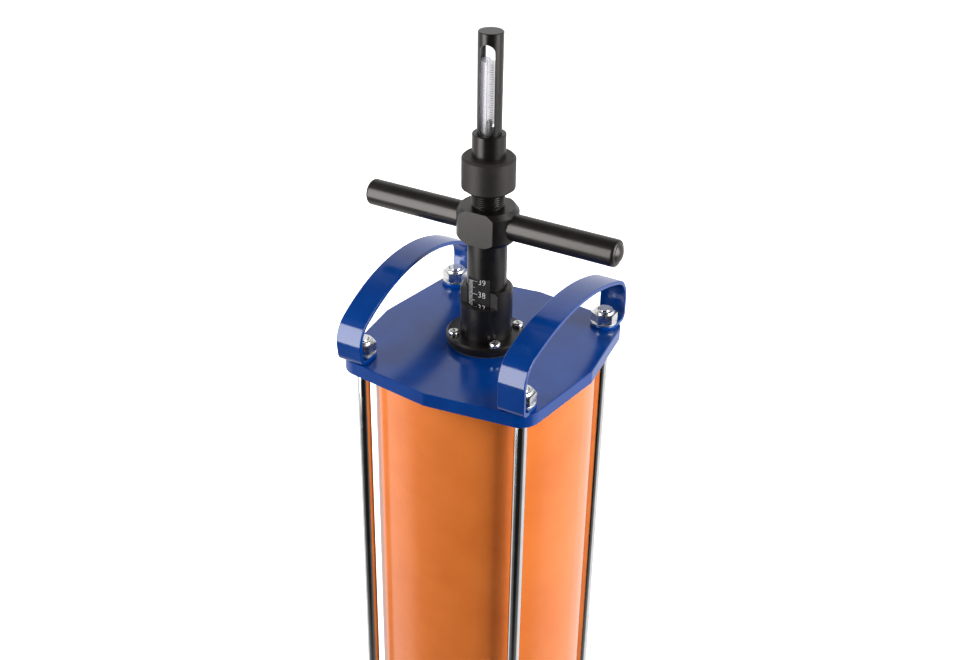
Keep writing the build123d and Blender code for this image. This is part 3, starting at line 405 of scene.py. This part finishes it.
MATERIALS = {
    "blue_paint": surface("blue_powder_coat", (0.000, 0.034, 0.205), (0.001, 0.044, 0.240), (0.14, 0.20),
                          patch=45.0, grain=420.0, grain_height=0.012 * MM),
    "blue_strap": surface("blue_strap_paint", (0.000, 0.034, 0.205), (0.001, 0.044, 0.240), (0.09, 0.15),
                          patch=45.0, grain=420.0, grain_height=0.010 * MM),
    "black_turned": surface("black_oxide_turned", (0.0038, 0.0033, 0.0032), (0.0062, 0.0055, 0.0053),
                            (0.26, 0.34), patch=110.0, stretch=TURNED, grain=700.0, grain_height=0.005 * MM,
                            scratches=0.5, specular=0.36, tint=WARM),
    "black_bar": surface("black_oxide_bar", (0.010, 0.0088, 0.008), (0.015, 0.0132, 0.0122), (0.26, 0.33),
                         patch=110.0, stretch=TURNED_X, grain=700.0, grain_height=0.005 * MM, scratches=0.5,
                         specular=0.38, tint=WARM),
    "black_matte": surface("black_oxide_matte", (0.0095, 0.0082, 0.0078), (0.0135, 0.0118, 0.0110),
                           (0.46, 0.56), patch=160.0, stretch=TURNED, grain=700.0, grain_height=0.006 * MM,
                           specular=0.34, tint=WARM),
    "bright_steel": surface("bright_drawn_steel", (0.66, 0.66, 0.67), (0.74, 0.74, 0.74), (0.09, 0.14),
                            metallic=1.0, patch=80.0, stretch=DRAWN, grain=700.0, grain_height=0.003 * MM,
                            scratches=0.4),
    "zinc_steel": surface("bright_zinc", (0.66, 0.68, 0.70), (0.86, 0.85, 0.80), (0.20, 0.34), metallic=1.0,
                          patch=320.0, grain=1500.0, grain_height=0.006 * MM),
    "nylon": surface("natural_nylon", (0.66, 0.70, 0.72), (0.80, 0.82, 0.80), (0.35, 0.5), patch=300.0,
                     grain=1800.0, grain_height=0.004 * MM),
    "orange_tube": surface("orange_pipe", (0.70, 0.170, 0.030), (0.78, 0.205, 0.040), (0.16, 0.24),
                           patch=18.0, stretch=(3.0, 3.0, 0.12), grain=160.0, grain_height=0.010 * MM),
    "gasket_rubber": surface("gasket_rubber", (0.012, 0.012, 0.012), (0.025, 0.024, 0.023), (0.6, 0.8),
                             patch=200.0, grain=1500.0, grain_height=0.02 * MM),
    "bush_plastic": surface("acetal", (0.58, 0.55, 0.47), (0.66, 0.63, 0.55), (0.35, 0.5), patch=150.0,
                            stretch=TURNED, grain=600.0, grain_height=0.006 * MM),
    "felt": surface("wiper_felt", (0.20, 0.19, 0.16), (0.36, 0.34, 0.29), (0.85, 0.95), patch=700.0,
                    grain=2600.0, grain_height=0.15 * MM),
    "strip_black": surface("strip_black", (0.004, 0.004, 0.0045), (0.006, 0.006, 0.0065), (0.25, 0.35),
                           patch=120.0, grain=1600.0, grain_height=0.003 * MM, specular=0.15),
    "piston_metal": surface("turned_aluminium", (0.55, 0.56, 0.58), (0.68, 0.69, 0.71), (0.25, 0.38),
                            metallic=1.0, patch=90.0, stretch=TURNED, grain=600.0, grain_height=0.012 * MM),
    "seal_rubber": surface("seal_rubber", (0.010, 0.010, 0.010), (0.018, 0.018, 0.018), (0.35, 0.5),
                           patch=200.0, grain=1500.0, grain_height=0.008 * MM),
    "band_plastic": surface("filled_resin", (0.22, 0.17, 0.11), (0.32, 0.26, 0.18), (0.5, 0.65), patch=900.0,
                            grain=2400.0, grain_height=0.01 * MM),
    "ring_metal": surface("turned_ring", (0.52, 0.53, 0.55), (0.66, 0.67, 0.69), (0.26, 0.38), metallic=1.0,
                          patch=90.0, stretch=TURNED, grain=600.0, grain_height=0.012 * MM),
    "membrane_rubber": surface("membrane_rubber", (0.014, 0.014, 0.015), (0.03, 0.03, 0.03), (0.5, 0.7),
                               patch=90.0, grain=900.0, grain_height=0.04 * MM),
    "brass": surface("drawn_brass", (0.55, 0.38, 0.14), (0.72, 0.52, 0.22), (0.2, 0.32), metallic=1.0,
                     patch=200.0, stretch=TURNED, grain=900.0, grain_height=0.004 * MM),
    "clear_acrylic": clear_plastic("clear_acrylic"),
    "scale_white": printed_scale("scale_white"),
    "plunger_black": surface("plunger_black", (0.012, 0.012, 0.012), (0.02, 0.02, 0.02), (0.2, 0.3),
                             patch=300.0, stretch=TURNED, grain=1200.0, grain_height=0.003 * MM),
    "spring_steel": surface("spring_steel", (0.42, 0.42, 0.43), (0.56, 0.56, 0.56), (0.2, 0.32), metallic=1.0,
                            patch=700.0, grain=2200.0, grain_height=0.004 * MM),
    "white_ink": surface("white_ink", (0.70, 0.70, 0.69), (0.82, 0.82, 0.80), (0.4, 0.6), patch=900.0,
                         grain=3000.0, grain_height=0.004 * MM),
    "black_ink": surface("black_ink", (0.010, 0.010, 0.010), (0.02, 0.02, 0.02), (0.4, 0.6), patch=900.0,
                         grain=3000.0, grain_height=0.004 * MM),
}

# nodes whose look differs from the rest of their material slot
SPECIAL = {"left_handle_bar": "black_bar", "right_handle_bar": "black_bar",
           "coupling_ring": "black_matte", "left_handle": "blue_strap", "right_handle": "blue_strap"}
for node_name, node_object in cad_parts.items():
    for material_slot in node_object.material_slots:
        key = material_slot.material.name.split(".")[0]
        key = SPECIAL.get(node_name, "black_turned" if key == "black_oxide" else key)
        material_slot.material = MATERIALS[key]


def dressed(thing, material, body):
    """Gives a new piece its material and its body."""
    thing.data.materials.clear()
    thing.data.materials.append(MATERIALS[material])
    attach(thing, body)
    return thing


# --- printed marks ------------------------------------------------------------------------
def digits_mesh(text, size, left, middle_z, front_y):
    """Plain digits standing in the XZ plane and facing -Y."""
    curve = bpy.data.curves.new("digits", "FONT")
    curve.body = text
    curve.size = size
    curve.align_x = "LEFT"
    curve.align_y = "CENTER"
    curve.extrude = INK / 2
    curve.offset = -DIGIT_THINNING
    curve.resolution_u = 3
    holder = bpy.data.objects.new("digits", curve)
    mesh = bpy.data.meshes.new_from_object(holder)
    bpy.data.objects.remove(holder)
    bpy.data.curves.remove(curve)
    upright = Matrix.Rotation(math.pi / 2, 4, "X")
    mesh.transform(Matrix.Translation((left, front_y - INK / 2, middle_z)) @ upright)
    return mesh


def make_rod_marks():
    """The strip's marks, with a number at each centimetre, from the highest down to 0."""
    strip_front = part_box("rod_scale_strip")[0].y
    marks = []
    for step in range(ROD_MARK_HIGHEST * MARKS_PER_NUMBER + 1):
        z = ROD_MARK_TOP - step * ROD_MARK_PITCH
        if step % MARKS_PER_NUMBER == 0:
            kind = "major"
        else:
            kind = "half" if step % MARKS_PER_HALF == 0 else "minor"
        low = (ROD_MARK_LEFT, strip_front - INK, z - ROD_MARK_WIDTH / 2)
        high = (ROD_MARK_LEFT + ROD_MARK_LENGTHS[kind], strip_front, z + ROD_MARK_WIDTH / 2)
        marks.append(box_mesh(low, high))
        if kind == "major":
            number = str(ROD_MARK_HIGHEST - step // MARKS_PER_NUMBER)
            marks.append(digits_mesh(number, ROD_DIGIT_SIZE, ROD_DIGIT_LEFT, z, strip_front))
    return new_object("rod_marks", joined("rod_marks", marks))


def make_gauge_marks():
    """The plain ticks of the gauge's scale, turned with its slot."""
    low_z, high_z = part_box("gauge_scale")[0].z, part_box("gauge_scale")[1].z
    marks = []
    count = int((high_z - low_z - GAUGE_MARKS_MARGIN) / GAUGE_MARK_PITCH)
    for step in range(count):
        z = low_z + GAUGE_MARKS_START + step * GAUGE_MARK_PITCH
        kind = "major" if step % GAUGE_MARKS_PER_MAJOR == 0 else "minor"
        left = GAUGE_MARK_RIGHT - GAUGE_MARK_LENGTHS[kind]
        low = (left, GAUGE_SCALE_FRONT - INK, z - GAUGE_MARK_WIDTH / 2)
        high = (GAUGE_MARK_RIGHT, GAUGE_SCALE_FRONT, z + GAUGE_MARK_WIDTH / 2)
        marks.append(box_mesh(low, high))
    whole = joined("gauge_marks", marks)
    whole.transform(Matrix.Rotation(GAUGE_TURN, 4, "Z"))
    return new_object("gauge_marks", whole)


# --- threaded pieces ----------------------------------------------------------------------
def smooth_object(name, mesh):
    """A new piece with smooth shading, apart from its sharp corners."""
    mesh.shade_smooth()
    mesh.set_sharp_from_angle(angle=math.radians(SMOOTHING_ANGLE))
    return new_object(name, mesh)


def make_tie_rod_threads():
    """The four studs, with a rolled thread at each end."""
    low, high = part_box("tie_rods")[0].z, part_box("tie_rods")[1].z
    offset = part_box("tie_rods")[1].x - TIE_ROD_RADIUS
    low_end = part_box("bottom_plate")[1].z + TIE_ROD_THREAD_PAST_PLATE
    high_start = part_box("top_plate")[0].z - TIE_ROD_THREAD_PAST_PLATE

    def outline(turn):
        foot = thread_side(TIE_ROD_RADIUS, TIE_ROD_THREAD_DEPTH, TIE_ROD_PITCH, low, low_end,
                           TIE_ROD_TIP, TIE_ROD_SHANK, turn)
        head = thread_side(TIE_ROD_RADIUS, TIE_ROD_THREAD_DEPTH, TIE_ROD_PITCH, high_start, high,
                           TIE_ROD_SHANK, TIE_ROD_TIP, turn)
        return [(0.0, low)] + foot + head + [(0.0, high)]

    rods = [turned_mesh(outline, (x, y)) for x in (-offset, offset) for y in (-offset, offset)]
    return smooth_object("threaded_tie_rods", joined("threaded_tie_rods", rods))


def make_stub_thread():
    """The gauge's stub: a fine outside thread, a spigot below and the gauge chamber in its bore."""
    spigot_low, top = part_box("gauge_stub")[0].z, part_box("gauge_stub")[1].z
    hub_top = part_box("handle_hub")[1].z
    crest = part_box("gauge_stub")[1].x
    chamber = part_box("gauge_liner")[1].x
    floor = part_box("gauge_liner")[0].z

    def outline(turn):
        thread = thread_side(crest, STUB_THREAD_DEPTH, STUB_PITCH, hub_top, top,
                             crest - STUB_THREAD_DEPTH, crest - STUB_TIP_CHAMFER, turn)
        spigot = [(STUB_PASSAGE_RADIUS, spigot_low), (STUB_SPIGOT_RADIUS, spigot_low),
                  (STUB_SPIGOT_RADIUS, hub_top)]
        bore = [(chamber, top), (chamber, floor), (STUB_PASSAGE_RADIUS, floor)]
        return spigot + thread + bore

    return smooth_object("threaded_gauge_stub", turned_mesh(outline, bored=True))


# --- gauge coil ---------------------------------------------------------------------------
def make_spring():
    """The gauge's compression spring: a round wire wound between the plunger's head and the liner's top."""
    mean_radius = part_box("gauge_spring")[1].x - SPRING_WIRE_RADIUS
    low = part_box("gauge_spring")[0].z + SPRING_WIRE_RADIUS
    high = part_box("gauge_spring")[1].z - SPRING_WIRE_RADIUS
    bm = bmesh.new()
    rings = []
    steps = SPRING_TURNS * SPRING_STEPS
    for i in range(steps + 1):
        angle = 2 * math.pi * i / SPRING_STEPS
        z = low + (high - low) * i / steps
        ring = []
        for j in range(SPRING_SIDES):
            side = 2 * math.pi * j / SPRING_SIDES
            r = mean_radius + SPRING_WIRE_RADIUS * math.cos(side)
            ring.append(bm.verts.new((r * math.cos(angle), r * math.sin(angle),
                                      z + SPRING_WIRE_RADIUS * math.sin(side))))
        rings.append(ring)
    for here, there in zip(rings, rings[1:]):
        for j in range(SPRING_SIDES):
            k = (j + 1) % SPRING_SIDES
            bm.faces.new((here[j], there[j], there[k], here[k]))
    bm.faces.new(rings[0])
    bm.faces.new(reversed(rings[-1]))
    bmesh.ops.recalc_face_normals(bm, faces=bm.faces)
    mesh = bpy.data.meshes.new("gauge_coil")
    bm.to_mesh(mesh)
    bm.free()
    return smooth_object("gauge_coil", mesh)


# --- pieces added to the frame ------------------------------------------------------------
coil = dressed(make_spring(), "spring_steel", ROD_BODY)
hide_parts("gauge_spring")
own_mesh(coil)
tie_rods = dressed(make_tie_rod_threads(), "bright_steel", FRAME_BODY)
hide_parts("tie_rods")
gauge_stub = dressed(make_stub_thread(), "black_turned", ROD_BODY)
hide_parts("gauge_stub")
dressed(make_rod_marks(), "white_ink", ROD_BODY)
dressed(make_gauge_marks(), "black_ink", ROD_BODY)


# --- stage: floor, lights, world ----------------------------------------------------------
def make_floor():
    points = [(-FLOOR_HALF, -FLOOR_HALF, 0.0), (FLOOR_HALF, -FLOOR_HALF, 0.0),
              (FLOOR_HALF, FLOOR_HALF, 0.0), (-FLOOR_HALF, FLOOR_HALF, 0.0)]
    floor = new_object("floor", mesh_from("floor", points, [(0, 1, 2, 3)]))
    material, nodes, links, shader = start_material("floor")
    patches = noise(nodes, links, object_coordinates(nodes, links), 3.0, 3.0, 0.5)
    pale = ramp(nodes, links, patches, [(0.3, (0.90, 0.90, 0.90)), (0.7, (0.92, 0.92, 0.92))])
    links.new(pale, shader.inputs["Base Color"])
    shader.inputs["Roughness"].default_value = 0.9
    shader.inputs["Specular IOR Level"].default_value = 0.1
    floor.data.materials.append(material)
    floor.visible_glossy = False
    floor.visible_diffuse = False
    return floor


def add_lamp(name, data, azimuth, elevation, distance, target_z):
    """Places a lamp that faces a point on the pump's axis; azimuth 0 is -Y and 90 is +X, in degrees."""
    lamp = bpy.data.objects.new(name, data)
    a, e = math.radians(azimuth), math.radians(elevation)
    back = Vector((math.sin(a) * math.cos(e), -math.cos(a) * math.cos(e), math.sin(e)))
    lamp.location = Vector((0.0, 0.0, target_z)) + back * distance
    lamp.rotation_mode = "QUATERNION"
    lamp.rotation_quaternion = (-back).to_track_quat("-Z", "Y")
    bpy.context.scene.collection.objects.link(lamp)
    return lamp


def softbox(name, azimuth, elevation, distance, width, height, power, reflected=True, lighting=True):
    """A rectangular soft light that lights the pump or is mirrored in it."""
    data = bpy.data.lights.new(name, "AREA")
    data.shape = "RECTANGLE"
    data.size, data.size_y = width, height
    data.energy = power
    lamp = add_lamp(name, data, azimuth, elevation, distance, DECK)
    lamp.visible_glossy = reflected
    lamp.visible_diffuse = lighting
    lamp.visible_transmission = False
    return lamp


def mirrored_panel(name, azimuth, elevation, distance, width, height, power):
    """A soft panel seen only in glossy surfaces, and not in the flat plates, which it would whiten."""
    lamp = softbox(name, azimuth, elevation, distance, width, height, power, lighting=False)
    spared = bpy.data.collections.new(name + "_spares")
    for plate in ("top_plate", "bottom_plate"):
        spared.objects.link(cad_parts[plate])
    for item in spared.collection_objects:
        item.light_linking.link_state = "EXCLUDE"
    lamp.light_linking.receiver_collection = spared


def floor_lamp(floor):
    """An even light from above that reaches the floor alone, with the pump's soft shadow in it."""
    data = bpy.data.lights.new("floor_lamp", "SUN")
    data.energy = FLOOR_LIGHT
    data.angle = math.radians(FLOOR_LIGHT_SPREAD)
    lamp = add_lamp("floor_lamp", data, azimuth=205.0, elevation=68.0, distance=3.0, target_z=0.0)
    lit = bpy.data.collections.new("lit_by_floor_lamp")
    lit.objects.link(floor)
    lamp.light_linking.receiver_collection = lit


def make_world():
    """A pale surround that is darker overhead and on the camera's side, as in a photo studio.

    It is plain white where nothing stands before it, full in reflections and dimmer as fill light.
    """
    world = bpy.data.worlds.new("studio")
    bpy.context.scene.world = world
    world.use_nodes = True
    nodes, links = world.node_tree.nodes, world.node_tree.links
    nodes.clear()
    output = nodes.new("ShaderNodeOutputWorld")
    where = nodes.new("ShaderNodeTexCoord")
    split = nodes.new("ShaderNodeSeparateXYZ")
    links.new(where.outputs["Generated"], split.inputs["Vector"])

    up = nodes.new("ShaderNodeMapRange")
    up.inputs["From Min"].default_value = -1.0
    links.new(split.outputs["Z"], up.inputs["Value"])
    by_height = ramp(nodes, links, up.outputs["Result"], WORLD_BY_HEIGHT)

    facing = nodes.new("ShaderNodeVectorMath")
    facing.operation = "DOT_PRODUCT"
    front = math.radians(WORLD_FRONT)
    facing.inputs[1].default_value = (math.sin(front), -math.cos(front), 0.0)
    links.new(where.outputs["Generated"], facing.inputs[0])
    side = nodes.new("ShaderNodeMapRange")
    side.inputs["From Min"].default_value = -1.0
    links.new(facing.outputs["Value"], side.inputs["Value"])
    by_side = ramp(nodes, links, side.outputs["Result"], WORLD_BY_SIDE)

    both = nodes.new("ShaderNodeMix")
    both.data_type = "RGBA"
    both.blend_type = "MULTIPLY"
    both.inputs["Factor"].default_value = 1.0
    links.new(by_height, both.inputs[6])
    links.new(by_side, both.inputs[7])

    path = nodes.new("ShaderNodeLightPath")
    reflected = background(nodes, links, both.outputs[2], WORLD_REFLECTED)
    fill = background(nodes, links, both.outputs[2], WORLD_FILL)
    plain = nodes.new("ShaderNodeBackground")
    plain.inputs["Color"].default_value = (1.0, 1.0, 1.0, 1.0)
    lit = choice(nodes, links, path.outputs["Is Diffuse Ray"], reflected, fill)
    seen = choice(nodes, links, path.outputs["Is Camera Ray"], lit, plain.outputs["Background"])
    links.new(seen, output.inputs["Surface"])


def background(nodes, links, colour, strength):
    node = nodes.new("ShaderNodeBackground")
    node.inputs["Strength"].default_value = strength
    links.new(colour, node.inputs["Color"])
    return node.outputs["Background"]


def make_camera():
    """The camera, aimed near the middle of the top plate's upper face and rolled slightly."""
    az, el, roll = CAMERA_AZIMUTH, CAMERA_ELEVATION, CAMERA_ROLL
    back = Vector((math.sin(az) * math.cos(el), -math.cos(az) * math.cos(el), math.sin(el)))
    right = (-back).cross(Vector((0, 0, 1))).normalized()
    up = right.cross(-back)
    place = Vector((0, 0, DECK)) + back * CAMERA_DISTANCE + right * CAMERA_RIGHT + up * CAMERA_UP
    rolled_right = right * math.cos(roll) + up * math.sin(roll)
    rolled_up = up * math.cos(roll) - right * math.sin(roll)
    data = bpy.data.cameras.new("camera")
    data.sensor_width = SENSOR_MM
    data.lens = LENS_MM
    data.clip_start, data.clip_end = CAMERA_NEAR, CAMERA_FAR
    camera = bpy.data.objects.new("camera", data)
    camera.matrix_world = Matrix((
        (rolled_right.x, rolled_up.x, back.x, place.x),
        (rolled_right.y, rolled_up.y, back.y, place.y),
        (rolled_right.z, rolled_up.z, back.z, place.z),
        (0, 0, 0, 1)))
    bpy.context.scene.collection.objects.link(camera)
    bpy.context.scene.camera = camera


floor_lamp(make_floor())
make_world()
softbox("key_left", azimuth=-42.0, elevation=14.0, distance=1.3, width=0.95, height=0.75, power=24.0,
        reflected=False)
softbox("key_right", azimuth=95.0, elevation=14.0, distance=1.4, width=0.9, height=1.1, power=34.0,
        reflected=False)
softbox("back_fill", azimuth=212.0, elevation=20.0, distance=1.8, width=1.4, height=1.0, power=26.0,
        reflected=False)
# nearer than the key lights, which block reflected rays although they aren't seen in them
mirrored_panel("left_panel", azimuth=-30.0, elevation=9.0, distance=1.2, width=0.785, height=1.34, power=29.0)
mirrored_panel("right_panel", azimuth=95.0, elevation=14.0, distance=1.38, width=0.9, height=1.1, power=30.0)
make_camera()

bpy.context.scene.view_settings.view_transform = "Standard"
